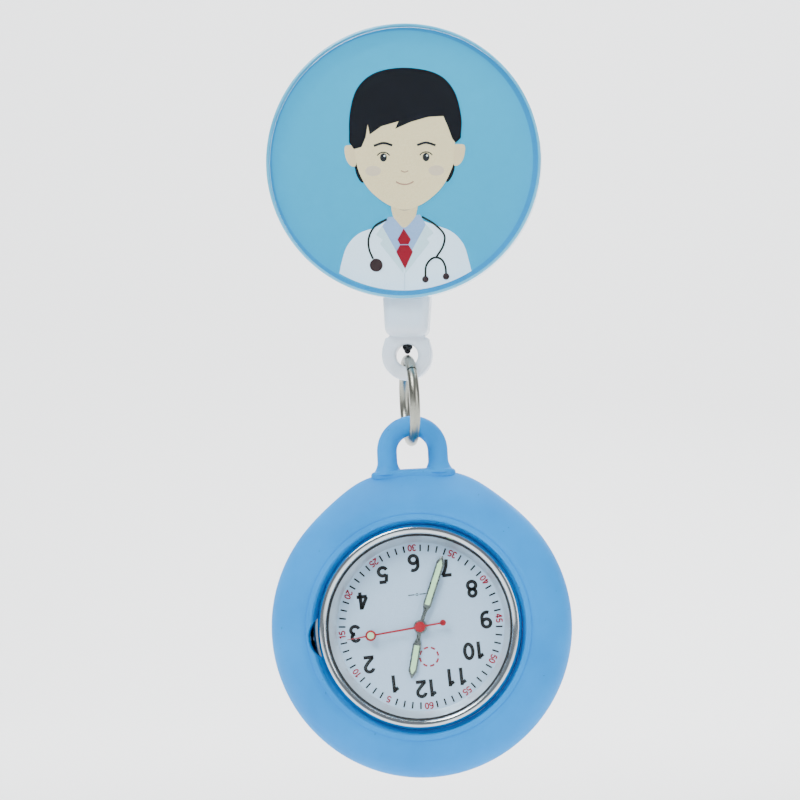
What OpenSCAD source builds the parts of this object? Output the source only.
// Nurse's fob watch: a swivelling pocket clip, a retractable reel behind a
// clear picture disc, and an upside-down quartz watch in a silicone jacket.
// Millimetres. +Z is up, the faces look along -Y and +X is to the right of
// someone who looks at them. The origin is the middle of the clip's bite.

/* [Whole object] */
// Lean of the hanging ring and watch at rest, in degrees
lean = 3; // [0:0.5:8]
// Turn of the watch inside its jacket, in degrees
dial_turn = 3.3; // [0:0.1:10]
// Radial clearance of a shaft that turns in its hole
run_gap = 0.05; // [0.02:0.01:0.08]
// Clearance between neighbours that move past each other
pass_gap = 0.1; // [0.08:0.01:0.2]
// Clearance round a piece that only has to drop into its seat
seat_gap = 0.03; // [0.02:0.01:0.06]

/* [Picture disc] */
// Radius of the clear disc
disc_r = 20; // [16:0.5:26]
// Thickness of the clear disc
disc_t = 3; // [2:0.1:4]
// Width of the polished bevel round the clear disc
disc_bevel = 0.35; // [0.1:0.05:0.6]
// Thickness of the printed film behind the clear disc
film_t = 0.15; // [0.1:0.05:0.3]
// How far the film stays inside the disc's edge
film_inset = 0.4; // [0.2:0.1:1]
// Thickness of the adhesive pad behind the film
pad_t = 0.25; // [0.15:0.05:0.6]

/* [Reel housing] */
// Outer radius of the round housing
shell_r = 16.5; // [15.2:0.1:20]
// Depth of the whole housing, front to back
shell_depth = 9; // [8.6:0.1:12]
// Thickness of the housing's round wall
shell_wall = 1.3; // [1:0.1:1.6]
// Thickness of the housing's front and back faces
shell_floor = 1; // [0.8:0.1:1.2]
// Radius of the housing's outer edges
shell_round = 1.2; // [0.4:0.1:2]
// Width of the spout that the cord leaves by
spout_w = 6.6; // [5:0.1:9]
// Depth of the spout, front to back
spout_d = 6.2; // [4.5:0.1:8]
// Length of the spout below the round wall
spout_len = 8.7; // [5:0.1:14]
// Radius of the spout's rounded edges
spout_round = 1.4; // [0.6:0.1:2]
// Radius of the fillets between the spout and the round wall
spout_fillet = 4.5; // [1:0.1:6]
// Radius of the post that the spool turns on
post_r = 2.25; // [1.5:0.05:3]
// Height of the locating lip inside the housing's joint
lip_h = 0.8; // [0.4:0.1:1.2]
// Thickness of the locating lip
lip_t = 0.8; // [0.6:0.1:1]

/* [Spool and cord] */
// Gap from the spool's flanges to the housing's locating lip
spool_gap = 0.4; // [0.3:0.1:1]
// Radius of the drum that the cord winds on
drum_r = 8.5; // [7.5:0.1:9.5]
// Wall of the drum
drum_wall = 0.8; // [0.5:0.1:1.2]
// Thickness of each flange of the spool
flange_t = 0.6; // [0.4:0.05:0.8]
// Diameter of the nylon cord
cord_d = 0.8; // [0.6:0.05:1]
// Depth of cord wound on the drum
wound_t = 2.4; // [1.6:0.1:3]
// Thickness of the flat spring that winds the cord in
spring_t = 0.15; // [0.1:0.01:0.2]
// Turns of the flat spring
spring_turns = 7; // [4:1:9]

/* [Pocket clip] */
// Width of the clip's base jaw
clip_w = 10; // [8:0.5:14]
// Thickness of the clip's sheet steel
clip_t = 0.6; // [0.5:0.05:0.8]
// Reach of the jaws below the swivel
jaw_reach = 14; // [12:0.5:18]
// Reach of the thumb plates above the swivel
thumb_reach = 13; // [11:0.5:16]
// Height of the hinge pin above the swivel
hinge_z = 3.2; // [2.8:0.1:4.5]
// Distance of the hinge pin behind the base jaw
hinge_lift = 3; // [2.6:0.1:4]
// Radius of the hinge pin
hinge_r = 0.8; // [0.5:0.05:1]
// Clear height of the throat between the jaws
throat_h = 4.5; // [4.2:0.1:6]
// Thumb angle of the lever, in degrees
thumb_tilt = 20; // [10:1:28]
// Radius of the swivel rivet's shank
rivet_r = 1.2; // [0.8:0.05:1.6]
// Radius of the swivel rivet's heads
rivet_head_r = 2.2; // [1.8:0.1:3]

/* [Pull fitting and ring] */
// Radius of the round end of the pull fitting
tab_r = 3.66; // [3:0.02:5]
// Width of the pull fitting's square top
tab_w = 6.4; // [4.5:0.1:7.2]
// Thickness of the pull fitting
tab_t = 3.2; // [2.4:0.1:4]
// Radius of the eye that the ring hangs in
eye_r = 1.65; // [1.5:0.05:2]
// Depth of the eye's centre below the spout
eye_drop = 2.6; // [2.4:0.1:4]
// Diameter of the ring's wire
wire_d = 1.5; // [1.2:0.05:1.6]
// Radius of the ring at the middle of its wire
ring_r = 5.96; // [5:0.02:8]
// Width of the cut in the ring
ring_cut = 0.25; // [0.1:0.05:0.6]
// Turn of the ring about the vertical, in degrees
ring_twist = 12; // [0:1:15]

/* [Silicone jacket] */
// Thickness of the jacket's round wall
jacket_wall = 6.4; // [5.6:0.1:9]
// How far the jacket stands in front of its middle plane
jacket_front = 5.5; // [5.2:0.1:7]
// How far the jacket stands behind its middle plane
jacket_back = 5.3; // [5.1:0.1:7]
// Width of the bevel inside the jacket's front lip
lip_bevel = 0.85; // [0.4:0.05:1.4]
// Radius of the round hole in the jacket's back
jacket_hole_r = 12.5; // [9:0.1:13.5]
// Thickness of the jacket's hanging loop
loop_d = 2.9; // [2.4:0.1:3.4]
// Width of the hole in the hanging loop
loop_gap = 4.4; // [3:0.1:6]
// Height of the hole in the hanging loop
loop_h = 4.9; // [4:0.1:6]
// Width of the collar under the loop
collar_w = 12.4; // [10:0.1:16]
// Height of the collar under the loop
collar_h = 1.7; // [1:0.1:3]
// Thickness of the collar, front to back
collar_t = 4.4; // [3:0.1:6]

/* [Watch case] */
// Radius of the dial plate
dial_r = 13.5; // [12:0.1:17]
// Wall of the case
case_wall = 2.05; // [1.8:0.05:3]
// How far the bezel's rim is set in from the case
bezel_step = 0.65; // [0.4:0.05:0.9]
// Height of the bezel above the case
bezel_h = 1.9; // [1.7:0.1:2.6]
// Thickness of the glass
glass_t = 1.2; // [0.8:0.1:1.4]
// Width of the seal round the glass
seal_w = 0.3; // [0.2:0.05:0.5]
// Width of the sloping ring between the glass and the dial
slope_w = 1; // [0.6:0.05:1.4]
// Radius of the winding crown
crown_r = 2; // [1.6:0.1:2.4]
// Length of the winding crown
crown_len = 1.75; // [1.2:0.05:2.2]
// How far the crown pulls out
crown_pull = 1; // [0.5:0.1:1.2]
// Thickness of the case back's outer plate
back_t = 0.9; // [0.6:0.05:1]

/* [Dial and hands] */
// Thickness of the dial plate
dial_t = 0.4; // [0.3:0.05:0.5]
// Length of the hour hand
hour_len = 7.6; // [5:0.1:9]
// Width of the hour hand
hour_w = 1.2; // [0.6:0.05:1.6]
// Length of the minute hand
minute_len = 10.8; // [8:0.1:11.4]
// Width of the minute hand
minute_w = 1.15; // [0.5:0.05:1.4]
// Length of the second hand
second_len = 10.8; // [8:0.1:11.4]
// Width of the second hand
second_w = 0.24; // [0.15:0.01:0.4]
// Thickness of each hand
hand_t = 0.16; // [0.12:0.01:0.2]
// Direction of the hour hand, clockwise from twelve
hour_at = 16.7; // [0:0.1:360]
// Direction of the minute hand, clockwise from twelve
minute_at = 203.6; // [0:0.1:360]
// Direction of the second hand, clockwise from twelve
second_at = 86.7; // [0:0.1:360]

/* [Movement] */
// Radius of the movement
move_r = 10.5; // [10.4:0.1:11.8]
// Radius of the button battery
battery_r = 3.4; // [3:0.1:3.5]
// Thickness of the button battery
battery_t = 2.1; // [1.6:0.1:2.1]
// Thickness of every gear
gear_t = 0.14; // [0.1:0.01:0.16]
// Radius of the second hand's arbor
arbor_r = 0.2; // [0.15:0.01:0.22]
// Wall of each tube round the second hand's arbor
tube_t = 0.16; // [0.13:0.01:0.2]
// Radius of the winding stem
stem_r = 0.4; // [0.3:0.05:0.5]
// Module of the second hand's gears
fine_module = 0.1; // [0.09:0.005:0.1]

/* [Hidden] */
$fn = 72;

white = "#E4EDF4";
steel = "#B4BAB8";
brass = "#C8A860";
sky = "#3FB7FB";

// The reel, about the middle of its housing
shell_half = shell_depth / 2;
cavity_r = shell_r - shell_wall;
cavity_y = shell_half - shell_floor;
spool_r = cavity_r - lip_t - spool_gap;
spool_front = -cavity_y + 0.3;
hub_back = cavity_y - 1.1;
spool_back = hub_back - 0.6;
drum_in = drum_r - drum_wall;
cord_r = cord_d / 2;
cord_hole_r = cord_r + 0.3;
mouth_r = 2;
wound_r = drum_r + wound_t;
wound_y = (spool_front + spool_back) / 2;
spout_tip = shell_r + spout_len;
disc_back = shell_half + pad_t + film_t;

// The clip, behind the housing
boss_t = 0.4;
base_y = shell_half + boss_t + pass_gap;
hinge_y = base_y + clip_t + hinge_lift;
lever_y = base_y + clip_t + throat_h;
lever_w = clip_w - 2 * clip_t - 2 * pass_gap;
bite_z = jaw_reach - 1;
spring_in = hinge_r + 0.15;
spring_wire = 0.4;
spring_w = lever_w - 2 * clip_t - 1;
bite_y = base_y + clip_t + 1.1;

// The fitting, the ring and the places where each bears on the next
eye_z = spout_tip + pass_gap + eye_drop;
wire_r = wire_d / 2;
flare = 0.5;
bearing_z = eye_z + eye_r - wire_r - 0.27;
loop_r = loop_d / 2;
loop_mid_r = loop_gap / 2 + loop_r;
flip_drop = 2 * ring_r - wire_r - loop_r - 0.08;

// The watch, about the middle of its case
case_bore = dial_r + seat_gap;
case_r = case_bore + case_wall;
case_front = -2.6;
case_rear = 3;
bezel_r = case_r - bezel_step;
glass_r = dial_r - seal_w;
glass_back = case_front - 0.2;
dial_front = -1.4;
dial_back = dial_front + dial_t;
jacket_bore = case_r + seat_gap;
jacket_r = jacket_bore + jacket_wall;
arch_z = jacket_r + collar_h - 0.65 + loop_h - loop_gap / 2;
watch_drop = flip_drop + arch_z + loop_mid_r;

// The crown, its seal and the stem
tube_r = 0.9;
crown_seal_r = tube_r + 0.1;
crown_out = -case_r - 0.35 - crown_len;
groove_x = -move_r + 2;
stem_end = -4.9;

// The movement: heights of its layers behind the dial, front to back
web_front = 0.2;
web_back = 0.4;
plate_back = 1.6;
bridge_back = 2;
stem_y = 0.6;
pivot_r = 0.12;
hand_gap = 0.17;
hour_y = dial_front - 0.25 - hand_t;
minute_y = hour_y - hand_gap - hand_t;
second_y = minute_y - hand_gap - hand_t;
post_in = arbor_r + run_gap;
post_out = post_in + tube_t;
cannon_in = post_out + run_gap;
cannon_out = cannon_in + tube_t;
hour_in = cannon_out + run_gap;
hour_out = hour_in + tube_t;
dial_hole_r = hour_out + pass_gap;

// Teeth, centre distances and directions of the gear train
third_n = 64;
third_pinion_n = 8;
center_n = 60;
seconds_n = 40;
seconds_pinion_n = 8;
fifth_n = 36;
fifth_pinion_n = 8;
rotor_n = 6;
cannon_n = 12;
minute_n = 36;
minute_pinion_n = 10;
hour_n = 40;
third_d = fine_module * (third_pinion_n + center_n) / 2;
third_module = 2 * third_d / (third_n + seconds_pinion_n);
fifth_d = fine_module * (seconds_n + fifth_pinion_n) / 2;
rotor_d = fine_module * (fifth_n + rotor_n) / 2;
stud_r = 0.2;
minute_d = tip_r(center_n, fine_module) + stud_r + 0.07;
dial_module = 2 * minute_d / (cannon_n + minute_n);
hour_module = 2 * minute_d / (minute_pinion_n + hour_n);
third_dir = 60;
fifth_dir = 150;
rotor_dir = 115;
minute_dir = 250;
third_at = polar(third_d, third_dir);
fifth_at = polar(fifth_d, fifth_dir);
rotor_at = fifth_at + polar(rotor_d, rotor_dir);
minute_wheel_at = polar(minute_d, minute_dir);
battery_at = polar(move_r - battery_r - 0.35, -43);
coil_at = [-1, move_r - 3.4];
coil_len = 6.4;
coil_r = 0.85;
core_r = 0.35;
core_end = coil_len / 2 + 0.8;
can_at = [-4.6, -5.4];
screw_at = [[-6.2, 3.4], [5.6, 1.6], [-0.6, -5]];
foot_at = [polar(move_r - 1, 30), polar(move_r - 1, 205)];

function polar(r, a) = [r * cos(a), r * sin(a)];
function arc(c, r, a0, a1, n = 8) =
    [for (i = [0:n]) c + polar(r, a0 + (a1 - a0) * i / n)];
// Outer radius of a gear at its tooth tips
function tip_r(n, m) = m * (n / 2 + 0.9);

// Frames: each child is drawn about its own natural centre
module in_clip() translate([0, -bite_y, bite_z]) children();
module in_reel() in_clip() children();
module in_ring() in_reel() translate([0, 0, -bearing_z]) rotate([0, -lean, 0]) children();
module in_watch() in_ring() translate([0, 0, -watch_drop]) children();
module in_case() in_watch() rotate([0, -dial_turn, 0]) children();
// Direction of the hour a, clockwise from twelve, which hangs downwards
module toward(a) rotate([0, a + 180, 0]) children();

// An outline in X and Z, from depth y0 to depth y1
module slab(y0, y1) translate([0, y1, 0]) rotate([90, 0, 0]) linear_extrude(y1 - y0) children();
// A profile of radius and depth, turned about the Y axis
module turned() rotate([-90, 0, 0]) rotate_extrude() children();
// A ring of rectangular section round the Y axis
module ring_y(r0, r1, y0, y1) turned() translate([r0, y0]) square([r1 - r0, y1 - y0]);
module pin_y(r, y0, y1, at = [0, 0])
    translate([at.x, y0, at.y]) rotate([-90, 0, 0]) cylinder(r = r, h = y1 - y0);
module pin_x(r, x0, x1, y = 0, z = 0)
    translate([x0, y, z]) rotate([0, 90, 0]) cylinder(r = r, h = x1 - x0);
module box(lo, hi) translate(lo) cube(hi - lo);
// A straight rod between two points
module rod(a, b, r) {
    d = b - a;
    translate(a) rotate([0, acos(d.z / norm(d)), atan2(d.y, d.x)])
        cylinder(r = r, h = norm(d));
}
// A gear outline of n teeth whose first tooth points along phase
module teeth(n, m, phase = 0) {
    pitch = 360 / n;
    root = m * (n / 2 - 1.1);
    tip = tip_r(n, m);
    polygon([for (i = [0:n - 1], p = [[-0.32, root], [-0.13, tip], [0.13, tip], [0.32, root]])
        polar(p[1], phase + pitch * (i + p[0]))]);
}
module gear(n, m, phase, y0, y1, at = [0, 0])
    slab(y0, y1) translate(at) teeth(n, m, phase);

// ---- pocket clip ----

// Side view of a jaw's teeth: rows of small points along the bite
module bite(from, to, up) {
    n = 3;
    step = (to - from) / n;
    for (i = [0:n - 1]) translate([0, from + step * i])
        polygon([[-0.1, 0], [0, 0], [up, step / 2], [0, step], [-0.1, step]]);
}
// A side view in Y and Z, w wide about the middle
module side_view(w) rotate([90, 0, 90]) translate([0, 0, -w / 2]) linear_extrude(w) children();
// A pair of ears with the hinge's hole, from depth y0 to depth y1
module ears(w, y0, y1, r)
    for (s = [-1, 1]) translate([s * (w - clip_t) / 2, 0, 0]) side_view(clip_t) difference() {
        union() {
            translate([y0, hinge_z - 2]) square([y1 - y0, 4]);
            translate([hinge_y, hinge_z]) circle(2);
        }
        translate([hinge_y, hinge_z]) circle(r);
    }
module clip_base_jaw() in_clip() color(steel) {
    difference() {
        union() {
            slab(base_y, base_y + clip_t) union() {
                translate([-clip_w / 2, -jaw_reach]) square([clip_w, jaw_reach + thumb_reach - clip_w / 4]);
                translate([-clip_w / 4, thumb_reach - clip_w / 4 - 0.01]) square([clip_w / 2, clip_w / 4]);
                for (s = [-1, 1]) translate([s * clip_w / 4, thumb_reach - clip_w / 4]) circle(clip_w / 4);
            }
            translate([0, base_y + clip_t, 0]) side_view(clip_w) bite(-bite_z - 1, -bite_z + 1, 0.9);
        }
        pin_y(rivet_r, base_y - 1, base_y + clip_t + 1);
    }
    ears(clip_w, base_y, hinge_y, hinge_r);
}
module clip_hinge_pin() in_clip() color(steel) union() {
    pin_x(hinge_r, -clip_w / 2 - 0.4, clip_w / 2 + 0.4, hinge_y, hinge_z);
    for (s = [0, 1]) mirror([s, 0, 0])
        pin_x(hinge_r + 0.35, clip_w / 2, clip_w / 2 + 0.4, hinge_y, hinge_z);
}
module clip_spring() in_clip() color(steel) {
    half = spring_w / 2;
    top = hinge_z + 5.5;
    difference() {
        pin_x(spring_in + spring_wire, -half, half, hinge_y, hinge_z);
        pin_x(spring_in, -spring_w, spring_w, hinge_y, hinge_z);
    }
    foot_y = base_y + clip_t + pass_gap / 2;
    box([-half, foot_y, hinge_z + spring_in], [-half + spring_wire, foot_y + spring_wire, top]);
    box([-half, foot_y, hinge_z + spring_in + 0.02],
        [-half + spring_wire, hinge_y, hinge_z + spring_in + spring_wire - 0.02]);
    box([half - spring_wire, lever_y - spring_wire, hinge_z], [half, lever_y - pass_gap / 2, top]);
}
// Side view of the lever: teeth, a bent nose, a flat back and a raised thumb plate
module lever_side() {
    thumb = [lever_y + (thumb_reach - hinge_z - 2) * tan(thumb_tilt), thumb_reach];
    nose = base_y + clip_t + 1.1;
    polygon([[nose, -bite_z - 1], [nose, -bite_z + 1], [lever_y, -bite_z + 2.2],
        [lever_y, hinge_z + 2], thumb, thumb + [clip_t, 0.1],
        [lever_y + clip_t, hinge_z + 1.9], [lever_y + clip_t, -bite_z + 1.8],
        [nose + clip_t, -bite_z - 1]]);
}
module clip_lever_jaw() in_clip() color(steel) {
    side_view(lever_w) lever_side();
    ears(lever_w, hinge_y, lever_y + clip_t / 2, hinge_r + run_gap);
}
module swivel_rivet() in_clip() color(steel) union() {
    pin_y(rivet_head_r, cavity_y - 0.65, cavity_y - run_gap);
    pin_y(rivet_r, cavity_y - 0.65, base_y + clip_t + 0.1);
    pin_y(rivet_head_r, base_y + clip_t, base_y + clip_t + 0.5);
}

// ---- reel ----

// The spout's outline above its straight part, filleted into the round wall
module spout_root() {
    c = [spout_w / 2 + spout_fillet, -sqrt(pow(shell_r + spout_fillet, 2) - pow(spout_w / 2 + spout_fillet, 2))];
    t = c * shell_r / (shell_r + spout_fillet);
    difference() {
        polygon([[-t.x, t.y], [t.x, t.y], c, [-c.x, c.y]]);
        for (s = [-1, 1]) translate([s * c.x, c.y]) circle(spout_fillet);
    }
}
module spout() {
    slab(-spout_d / 2 + 0.5, spout_d / 2 - 0.5) spout_root();
    x = spout_w / 2 - spout_round;
    y = spout_d / 2 - spout_round;
    hull() for (sx = [-1, 1], sy = [-1, 1]) translate([sx * x, sy * y, 0]) {
        translate([0, 0, -cavity_r - 0.3]) cylinder(r = spout_round, h = 0.1, $fn = 32);
        translate([0, 0, -spout_tip + spout_round]) sphere(spout_round, $fn = 32);
    }
}
// The housing's rounded rim, seen in section from the joint plane backwards
function rim() = concat([[shell_r, 0]],
    arc([shell_r - shell_round, shell_half - shell_round], shell_round, 0, 90),
    [[0, shell_half]]);
module half_spout() intersection() {
    spout();
    box([-shell_r, 0, -2 * spout_tip], [shell_r, shell_half, 0]);
}
// The cord's way out: a bell mouth, then a straight bore
module cord_way() rotate([0, 0, 30]) rotate_extrude()
    polygon([[0, -spout_tip - 1], [cord_hole_r, -spout_tip - 1], [cord_hole_r, -cavity_r - 1.6],
        [mouth_r, 1.4 - cavity_r], [0, 1.4 - cavity_r]]);
module back_shell() in_reel() color(white) difference() {
    union() {
        turned() polygon(concat([[0, 0]], rim()));
        half_spout();
        pin_y(4, shell_half - 0.5, shell_half + boss_t);
    }
    pin_y(cavity_r, -1, cavity_y);
    cord_way();
    pin_y(rivet_r + run_gap, 0, base_y);
}
// The front half carries the spool's post and the lip that locates the back half
module front_shell() in_reel() color(white) mirror([0, 1, 0]) difference() {
    post_end = -hub_back - 0.1;
    lip_in = cavity_r - lip_t;
    union() {
        turned() polygon(concat([[0, post_end], [post_r, post_end], [post_r, cavity_y],
            [lip_in, cavity_y], [lip_in, -lip_h], [cavity_r - seat_gap, -lip_h],
            [cavity_r - seat_gap, 0]], rim()));
        difference() {
            half_spout();
            pin_y(cavity_r, -1, shell_half);
        }
    }
    cord_way();
}
module adhesive_pad() in_reel() color("#9FB6C4")
    pin_y(shell_r - shell_round - 0.3, -shell_half - pad_t, -shell_half);
module picture_film() in_reel() color("#64BEDD")
    pin_y(disc_r - film_inset, -disc_back, -disc_back + film_t);
module clear_disc() in_reel() color("#4DA5CD", 0.6) {
    y = -disc_back;
    b = disc_bevel;
    turned() polygon([[0, y], [disc_r - b, y], [disc_r, y - b], [disc_r, y - disc_t + b],
        [disc_r - b, y - disc_t], [0, y - disc_t]]);
}
// A flat spiral strip from the post out to the drum
module reel_spring() in_reel() color(steel) {
    steps = 18 * spring_turns;
    r0 = post_r + seat_gap;
    grow = (drum_in - seat_gap - spring_t - r0) / steps;
    inner = [for (i = [0:steps]) polar(r0 + grow * i, 20 * i)];
    outer = [for (i = [0:steps]) polar(r0 + grow * (steps - i) + spring_t, 20 * (steps - i))];
    slab(spool_front + 0.3, spool_back - flange_t - 0.2) polygon(concat(inner, outer));
}
module spool() in_reel() color("#D8DDE0") {
    web = spool_back - flange_t;
    bore = post_r + run_gap;
    turned() polygon([[bore, web], [drum_in, web], [drum_in, spool_front], [spool_r, spool_front],
        [spool_r, spool_front + flange_t], [drum_r, spool_front + flange_t], [drum_r, web],
        [spool_r, web], [spool_r, spool_back], [post_r + 1, spool_back],
        [post_r + 1, hub_back], [bore, hub_back]]);
}
module cord_winding() in_reel() color("#2A2C30")
    ring_y(drum_r, wound_r, spool_front + flange_t + seat_gap, spool_back - flange_t - seat_gap);
module cord_run() in_reel() color("#2A2C30") {
    guide = cavity_r - 0.2;
    reach = wound_r + cord_r + pass_gap;
    turn = acos(reach / guide);
    g = [0, 0, -guide];
    union() {
        rod([reach * sin(turn), wound_y, -reach * cos(turn)], g, cord_r);
        translate(g) sphere(cord_r + 0.02);
        rod(g, [0, 0, -spout_tip], cord_r);
    }
}

// ---- pull fitting and ring ----

module pull_fitting() in_reel() color(white) difference() {
    top = spout_tip + pass_gap;
    hull() {
        pin_y(tab_r, -tab_t / 2 + flare, tab_t / 2 - flare, [0, -eye_z], $fn = 48);
        pin_y(tab_r - flare, -tab_t / 2, tab_t / 2, [0, -eye_z], $fn = 48);
        box([-tab_w / 2, -tab_t / 2 + flare, -top - 1], [tab_w / 2, tab_t / 2 - flare, -top]);
        box([-tab_w / 2 + flare, -tab_t / 2, -top - 1], [tab_w / 2 - flare, tab_t / 2, -top]);
    }
    box([-tab_r - 1, -tab_t, -top], [tab_r + 1, tab_t, 0]);
    pin_y(eye_r, -tab_t, tab_t, [0, -eye_z]);
    for (s = [0, 1]) mirror([0, s, 0]) translate([0, tab_t / 2 - flare, -eye_z])
        rotate([-90, 0, 0]) cylinder(r1 = eye_r, r2 = eye_r + 2 * flare, h = 2 * flare);
    translate([0, 0, -eye_z]) cylinder(r = cord_r, h = 2 * eye_drop);
}
module cord_knot() in_reel() color("#2A2C30") {
    knot_r = 0.6;
    knot_z = -eye_z + eye_r - knot_r;
    union() {
        translate([0, 0, knot_z]) sphere(knot_r);
        translate([0, 0, knot_z]) cylinder(r = cord_r, h = -spout_tip - pass_gap - knot_z);
    }
}
module jump_ring() in_ring() color(steel) rotate([0, 0, ring_twist]) translate([0, 0, -ring_r]) {
    cut = ring_cut / ring_r * 180 / PI;
    rotate([0, 90, 0]) rotate([0, 0, 227 + cut / 2]) rotate_extrude(angle = 360 - cut)
        translate([ring_r, 0]) circle(wire_r);
}

// ---- silicone jacket ----

// Half section: bevelled front lip, domed wall, and a back that wraps the case
module jacket_profile() {
    crest = jacket_r - jacket_wall * 0.8;
    mouth = bezel_r + seat_gap;
    front = [for (a = [-90:10:0]) [crest + (jacket_r - crest) * cos(a), jacket_front * sin(a)]];
    back = [for (a = [10:10:90]) [crest + (jacket_r - crest) * cos(a), jacket_back * sin(a)]];
    rear = case_rear + back_t + seat_gap;
    polygon(concat([[mouth, case_front - 1.4], [mouth + lip_bevel, -jacket_front + 0.5],
        [mouth + lip_bevel + 0.5, -jacket_front + 0.06]], front, back,
        [[jacket_hole_r + 0.6, jacket_back], [jacket_hole_r, jacket_back - 0.6],
        [jacket_hole_r, rear], [case_r - 0.95 + seat_gap, rear],
        [case_r - 0.95 + seat_gap, case_rear + seat_gap], [jacket_bore, case_rear + seat_gap],
        [jacket_bore, case_front - seat_gap], [mouth, case_front - seat_gap]]));
}
// Room for the crown behind the lip, and the notch that shows it
module crown_pocket() rotate([0, -dial_turn, 0]) {
    out = case_r + 0.4 + crown_len + crown_pull + 0.5;
    pin_x(crown_r + 0.45, -out, -case_r + 1, stem_y);
    pin_y(4, -jacket_front - 1, stem_y, [-case_r + 2.6, 0]);
}
module silicone_jacket() in_watch() color(sky) difference() {
    collar_z = jacket_r - 0.65;
    union() {
        turned() jacket_profile();
        translate([0, 0, arch_z]) rotate([90, 0, 0]) rotate_extrude(angle = 180)
            translate([loop_mid_r, 0]) circle(loop_r);
        for (s = [-1, 1]) translate([s * loop_mid_r, 0, collar_z + 0.3])
            cylinder(r = loop_r, h = arch_z - collar_z - 0.3);
        slab(-collar_t / 2, collar_t / 2) translate([-collar_w / 2, collar_z]) square([collar_w, collar_h]);
        slab(-collar_t / 2 + 0.2, collar_t / 2 - 0.2) difference() {
            polygon([[-collar_w / 2 - 0.4, collar_z + 0.2], [collar_w / 2 + 0.4, collar_z + 0.2],
                polar(jacket_r - 0.5, 52), [0, jacket_r * 0.7], polar(jacket_r - 0.5, 128)]);
            circle(jacket_r - 3);
        }
    }
    crown_pocket();
}

// ---- watch case ----

module case_body() in_case() color("#C9D2D6") difference() {
    turned() polygon([[case_bore, case_front], [case_r - 0.3, case_front], [case_r, case_front + 0.3],
        [case_r, case_rear - 0.4], [case_r - 0.4, case_rear], [case_bore, case_rear]]);
    pin_x(tube_r, -case_r - 1, 0, stem_y);
}
module bezel() in_case() color("#BDCBD0") {
    h = bezel_h;
    inner = dial_r;
    w = bezel_r - inner;
    turned() polygon(concat([[inner, case_front], [bezel_r, case_front]],
        [for (a = [0:15:90]) [bezel_r - w * 0.55 + w * 0.55 * cos(a), case_front - h * (0.45 + 0.55 * sin(a))]],
        [[inner + 0.1, case_front - h + 0.15], [inner, case_front - h + 0.3]]));
}
module glass() in_case() color("#DDEEF5", 0.35) {
    y = glass_back - glass_t;
    turned() polygon([[0, glass_back], [glass_r, glass_back], [glass_r, y + 0.15],
        [glass_r - 0.15, y], [0, y]]);
}
module glass_seal() in_case() color("#30383C")
    ring_y(glass_r, dial_r, glass_back - glass_t + 0.2, glass_back);
module slope_ring() in_case() color("#E6EEF0") {
    inner = dial_r - 0.3;
    turned() polygon([[inner, glass_back], [dial_r, glass_back], [dial_r, dial_front],
        [inner - slope_w, dial_front]]);
}
module dial() in_case() color("#C4DAE6") union() {
    ring_y(dial_hole_r, dial_r, dial_front, dial_back);
    for (p = foot_at) pin_y(0.35, dial_front + 0.1, dial_back + 0.7, p);
}
module movement_holder() in_case() color("#E8E8E4") difference() {
    ring_y(move_r + seat_gap, case_bore - seat_gap, dial_back, bridge_back + 0.4);
    pin_x(crown_seal_r, -case_r, 0, stem_y);
}
module case_back() in_case() color(steel) {
    plug = case_bore - 0.4;
    rim = case_r - 0.95;
    rear = case_rear + back_t;
    turned() polygon([[0, case_rear - 0.4], [plug, case_rear - 0.4], [plug, case_rear],
        [rim, case_rear], [rim, rear - 0.35], [rim - 0.5, rear], [0, rear]]);
}
module back_seal() in_case() color("#30383C")
    ring_y(case_bore - 0.4, case_bore, case_rear - 0.4, case_rear);

// ---- crown ----

module crown_tube() in_case() color(steel) difference() {
    pin_x(tube_r, -case_r - 0.8, -case_bore, stem_y);
    pin_x(stem_r + run_gap, -case_r - 1, 0, stem_y);
}
module crown() in_case() color("#BDCBD0") difference() {
    translate([crown_out, stem_y, 0]) rotate([0, 90, 0]) linear_extrude(crown_len) union() {
        circle(crown_r - 0.1);
        for (a = [0:12:359]) rotate(a) translate([crown_r - 0.25, 0]) circle(0.16, $fn = 16);
    }
    pin_x(crown_seal_r, crown_out + 0.6, 0, stem_y);
}
module crown_seal() in_case() color("#30383C") difference() {
    pin_x(crown_seal_r, crown_out + 0.6, crown_out + 0.9, stem_y);
    pin_x(stem_r, -case_r * 2, 0, stem_y);
}
module stem() in_case() color(steel) difference() {
    pin_x(stem_r, crown_out + 0.6, stem_end, stem_y);
    difference() {
        pin_x(stem_r + 1, groove_x - 0.35, groove_x + 0.35, stem_y);
        pin_x(stem_r / 2, groove_x - 1, groove_x + 1, stem_y);
    }
}
module clutch_pinion() in_case() color(brass) difference() {
    translate([stem_end - 1.2, stem_y, 0]) rotate([0, 90, 0]) linear_extrude(0.9) teeth(14, 0.11);
    pin_x(stem_r, -case_r, 0, stem_y);
}
// A forked slide in the stem's groove
module setting_slide() in_case() color(steel) difference() {
    box([groove_x - 0.3, stem_y - 0.7, -0.9], [groove_x + 0.3, plate_back - 0.1, 0.9]);
    pin_x(stem_r / 2 + run_gap, groove_x - 1, groove_x + 1, stem_y);
    box([groove_x - 1, stem_y - 1, -stem_r / 2 - run_gap], [groove_x + 1, stem_y, stem_r / 2 + run_gap]);
}

// ---- movement ----

module motion_cover() in_case() color("#D6D8D4") difference() {
    pin_y(move_r - 0.2, dial_back, dial_back + 0.1);
    pin_y(dial_hole_r, -9, 9);
    pin_y(pivot_r + run_gap, -9, 9, third_at);
    for (p = foot_at) pin_y(0.38, -9, 9, p);
}
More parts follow.
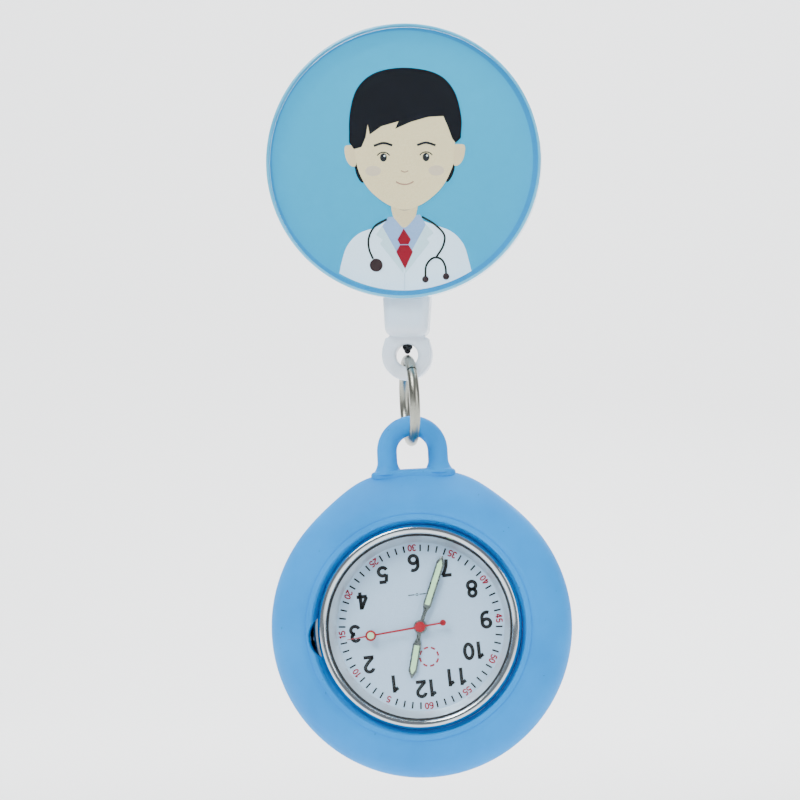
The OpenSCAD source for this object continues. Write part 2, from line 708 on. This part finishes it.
// Two bent strips w wide, from the rotor to the ends of the coil's core
module stator_legs(w) for (s = [-1, 1]) {
    knee = coil_at + [s * core_end, -1.6];
    leg(rotor_at, knee, w);
    translate(knee) circle(w / 2);
    leg(knee, coil_at + [s * core_end, 0.4], w);
}
module stator_outline() {
    difference() {
        union() {
            translate(rotor_at) circle(1.3);
            stator_legs(1.2);
        }
        translate(rotor_at) circle(0.75);
    }
}
// A straight strip w wide between two points
module leg(a, b, w) translate(a) rotate(atan2(b.y - a.y, b.x - a.x))
    translate([0, -w / 2]) square([norm(b - a), w]);
module stator() in_case() color(steel) union() {
    slab(0.72, 0.9) stator_outline();
    slab(0.8, 1.3) for (s = [-1, 1]) translate(coil_at + [s * core_end, 0]) square(0.5, center = true);
    pin_x(core_r, coil_at.x - core_end - 0.2, coil_at.x + core_end + 0.2, 1.2, coil_at.y);
}
module motor_coil() in_case() color("#B9673A") difference() {
    pin_x(coil_r, coil_at.x - coil_len / 2, coil_at.x + coil_len / 2, 1.2, coil_at.y);
    pin_x(core_r, -9, 9, 1.2, coil_at.y);
}
// Everything hollowed out of the plate's back
module train_room() {
    pin_y(tip_r(seconds_n, fine_module) + 0.15, web_back, 9);
    pin_y(tip_r(third_n, third_module) + 0.12, web_back, 9, third_at);
    pin_y(tip_r(fifth_n, fine_module) + 0.12, 1.05, 9, fifth_at);
    pin_y(0.75, web_back, 9, fifth_at);
    pin_y(0.75, web_back, 9, rotor_at);
    slab(0.7, 9) {
        translate(rotor_at) circle(1.4);
        stator_legs(1.5);
    }
    half = core_end + 0.75;
    box([coil_at.x - half, 0.3, coil_at.y - 1], [coil_at.x + half, 9, coil_at.y + 1]);
    pin_y(battery_r + pass_gap, web_back - 0.1, 9, battery_at);
    box([-move_r - 1, stem_y - 0.95, -1.05], [stem_end + 0.4, 9, 1.05]);
    can_place(0.1) rod([0, 1.1, 0], [5, 1.1, 0], 0.75 + pass_gap);
    can_place(0.1) box([0, 1.1, -0.75 - pass_gap], [5, 9, 0.75 + pass_gap]);
}
module can_place(back) translate([can_at.x - back, 0, can_at.y]) rotate([0, 35, 0]) children();
module main_plate() in_case() color("#C9CCC6") difference() {
    union() {
        difference() {
            pin_y(move_r, dial_back + 0.1, plate_back);
            pin_y(tip_r(center_n, fine_module) + 0.12, -9, web_front);
            pin_y(tip_r(minute_n, dial_module) + 0.12, -9, web_front, minute_wheel_at);
            train_room();
        }
        pin_y(stud_r, dial_back + 0.15, web_back, minute_wheel_at);
        pin_y(post_out, minute_y + 0.05, web_back);
    }
    pin_y(post_in, -9, 9);
    pin_y(tip_r(third_pinion_n, fine_module) + 0.1, -9, 9, third_at);
    for (p = [fifth_at, rotor_at]) pin_y(pivot_r + run_gap, web_front + 0.05, 9, p);
    for (p = foot_at) pin_y(0.38, -9, 0.3, p);
    for (p = screw_at) pin_y(0.3, plate_back - 0.7, 9, p);
}
module bridge_outline() {
    for (p = [[0, 0], third_at, fifth_at, rotor_at]) translate(p) circle(0.9);
    for (p = screw_at) {
        translate(p) circle(0.85);
        leg([0, 0], p, 1.1);
    }
    leg([0, 0], third_at, 1.2);
    leg([0, 0], fifth_at, 1.2);
    leg(fifth_at, rotor_at, 1.2);
    leg(third_at, screw_at[1], 1.2);
    leg(rotor_at, screw_at[0], 1.2);
}
module train_bridge() in_case() color("#D9D9D2") difference() {
    slab(plate_back, bridge_back) bridge_outline();
    pin_y(arbor_r + run_gap, 0, 9);
    for (p = [third_at, fifth_at, rotor_at]) pin_y(pivot_r + run_gap, 0, 9, p);
    for (p = screw_at) pin_y(0.3, 0, 9, p);
}
module movement_screws() in_case() color("#8F9AA3") for (p = screw_at) union() {
    pin_y(0.3, plate_back - 0.6, bridge_back + 0.05, p);
    pin_y(0.55, bridge_back, bridge_back + 0.25, p);
}
module circuit_board() in_case() color("#2F6B4A") slab(plate_back, plate_back + 0.2) difference() {
    intersection() {
        circle(move_r - 0.4);
        translate([-move_r, -move_r]) square([move_r - 1.6, move_r - 1.6]);
    }
    translate(screw_at[2]) circle(1.1);
    leg([0, 0], screw_at[2], 1.5);
    translate(battery_at) circle(battery_r + 0.3);
    translate(can_at) rotate(-35) translate([-0.3, -0.95]) square([5.6, 1.9]);
}
module quartz_can() in_case() color(steel) can_place(0) rod([0, 1.1, 0], [4.6, 1.1, 0], 0.75);
module battery() in_case() color("#C4C8C8") {
    y = web_back - 0.05;
    union() {
        pin_y(battery_r - 0.35, y, y + 0.3, battery_at);
        pin_y(battery_r, y + 0.3, y + battery_t, battery_at);
    }
}
module battery_clamp() in_case() color(steel) {
    y = web_back - 0.05 + battery_t;
    ends = [battery_at + polar(battery_r + 0.55, 60), battery_at + polar(battery_r + 0.55, 185)];
    union() {
        for (p = ends) slab(y, y + 0.1) leg(battery_at, p, 1.1);
        pin_y(0.9, y, y + 0.1, battery_at);
        for (p = ends) pin_y(0.42, plate_back, y + 0.1, p);
    }
}

// ---- gear train and hands ----

module seconds_wheel() in_case() color(brass) union() {
    gear(seconds_n, fine_module, fifth_dir + 180 / seconds_n, 0.9, 0.9 + gear_t);
    gear(seconds_pinion_n, third_module, third_dir, 0.45, 0.7);
    pin_y(arbor_r, second_y - 0.04, bridge_back - 0.1);
}
module third_wheel() in_case() color(brass) union() {
    gear(third_n, third_module, third_dir + 180 + 180 / third_n, 0.5, 0.5 + gear_t, third_at);
    gear(third_pinion_n, fine_module, third_dir + 180, -0.1, 0.5, third_at);
    pin_y(pivot_r, dial_back + 0.02, bridge_back - 0.1, third_at);
}
module fifth_wheel() in_case() color(brass) union() {
    gear(fifth_n, fine_module, rotor_dir, 1.15, 1.15 + gear_t, fifth_at);
    gear(fifth_pinion_n, fine_module, fifth_dir + 180, 0.8, 1.15, fifth_at);
    pin_y(pivot_r, web_front + 0.08, bridge_back - 0.1, fifth_at);
}
module rotor() in_case() color("#6B6F76") union() {
    gear(rotor_n, fine_module, rotor_dir + 180 + 180 / rotor_n, 1.1, 1.35, rotor_at);
    pin_y(0.6, 0.5, 1.05, rotor_at);
    pin_y(pivot_r, web_front + 0.08, bridge_back - 0.1, rotor_at);
}
module center_wheel() in_case() color(brass) difference() {
    union() {
        gear(center_n, fine_module, third_dir + 180 / center_n, -0.05, -0.05 + gear_t);
        gear(cannon_n, dial_module, minute_dir, -0.5, -0.05);
        pin_y(cannon_out, minute_y, -0.05);
    }
    pin_y(cannon_in, -9, 9);
}
module minute_wheel() in_case() color(brass) difference() {
    union() {
        gear(minute_n, dial_module, minute_dir + 180 + 180 / minute_n, -0.42, -0.42 + gear_t, minute_wheel_at);
        gear(minute_pinion_n, hour_module, minute_dir + 180, -0.84, -0.42, minute_wheel_at);
    }
    pin_y(stud_r + run_gap, -9, 9, minute_wheel_at);
}
module hour_wheel() in_case() color(brass) difference() {
    union() {
        gear(hour_n, hour_module, minute_dir + 180 / hour_n, -0.8, -0.8 + gear_t);
        pin_y(hour_out, hour_y, -0.66);
    }
    pin_y(hour_in, -9, 9);
}
// A sword hand that points up: a thin neck, a parallel blade and a short point
module sword(len, w, neck_w, blade_from, point) polygon([
    [-neck_w / 2, 0], [-neck_w / 2, blade_from - 0.8], [-w / 2, blade_from],
    [-w / 2, len - point], [-0.06, len], [0.06, len], [w / 2, len - point],
    [w / 2, blade_from], [neck_w / 2, blade_from - 0.8], [neck_w / 2, 0]]);
module hour_hand() in_case() toward(hour_at) color(steel) difference() {
    union() {
        pin_y(hour_out + 0.35, hour_y, hour_y + hand_t);
        slab(hour_y, hour_y + hand_t) sword(hour_len, hour_w, 0.6, 2.6, 1);
    }
    pin_y(hour_out, -9, 9);
}
module minute_hand() in_case() toward(minute_at) color(steel) difference() {
    union() {
        pin_y(cannon_out + 0.45, minute_y, minute_y + hand_t);
        slab(minute_y, minute_y + hand_t) sword(minute_len, minute_w, 0.55, 3.2, 1);
    }
    pin_y(cannon_out, -9, 9);
}
module second_hand() in_case() toward(second_at) color("#A81F2E") slab(second_y, second_y + hand_t) difference() {
    union() {
        circle(0.75);
        translate([-second_w / 2, -3.4]) square([second_w, second_len + 3.4]);
        translate([0, -3.4]) circle(0.45);
        translate([0, 7.3]) circle(0.8);
    }
    circle(arbor_r);
    translate([0, 7.3]) circle(0.48);
}

clip_base_jaw();
clip_hinge_pin();
clip_spring();
clip_lever_jaw();
swivel_rivet();
back_shell();
front_shell();
adhesive_pad();
picture_film();
clear_disc();
reel_spring();
spool();
cord_winding();
cord_run();
pull_fitting();
cord_knot();
jump_ring();
silicone_jacket();
case_body();
bezel();
glass();
glass_seal();
slope_ring();
dial();
movement_holder();
motion_cover();
main_plate();
train_bridge();
circuit_board();
quartz_can();
stator();
motor_coil();
battery();
battery_clamp();
movement_screws();
case_back();
back_seal();
crown_tube();
setting_slide();
crown();
crown_seal();
stem();
clutch_pinion();
rotor();
fifth_wheel();
seconds_wheel();
second_hand();
third_wheel();
center_wheel();
minute_hand();
minute_wheel();
hour_wheel();
hour_hand();
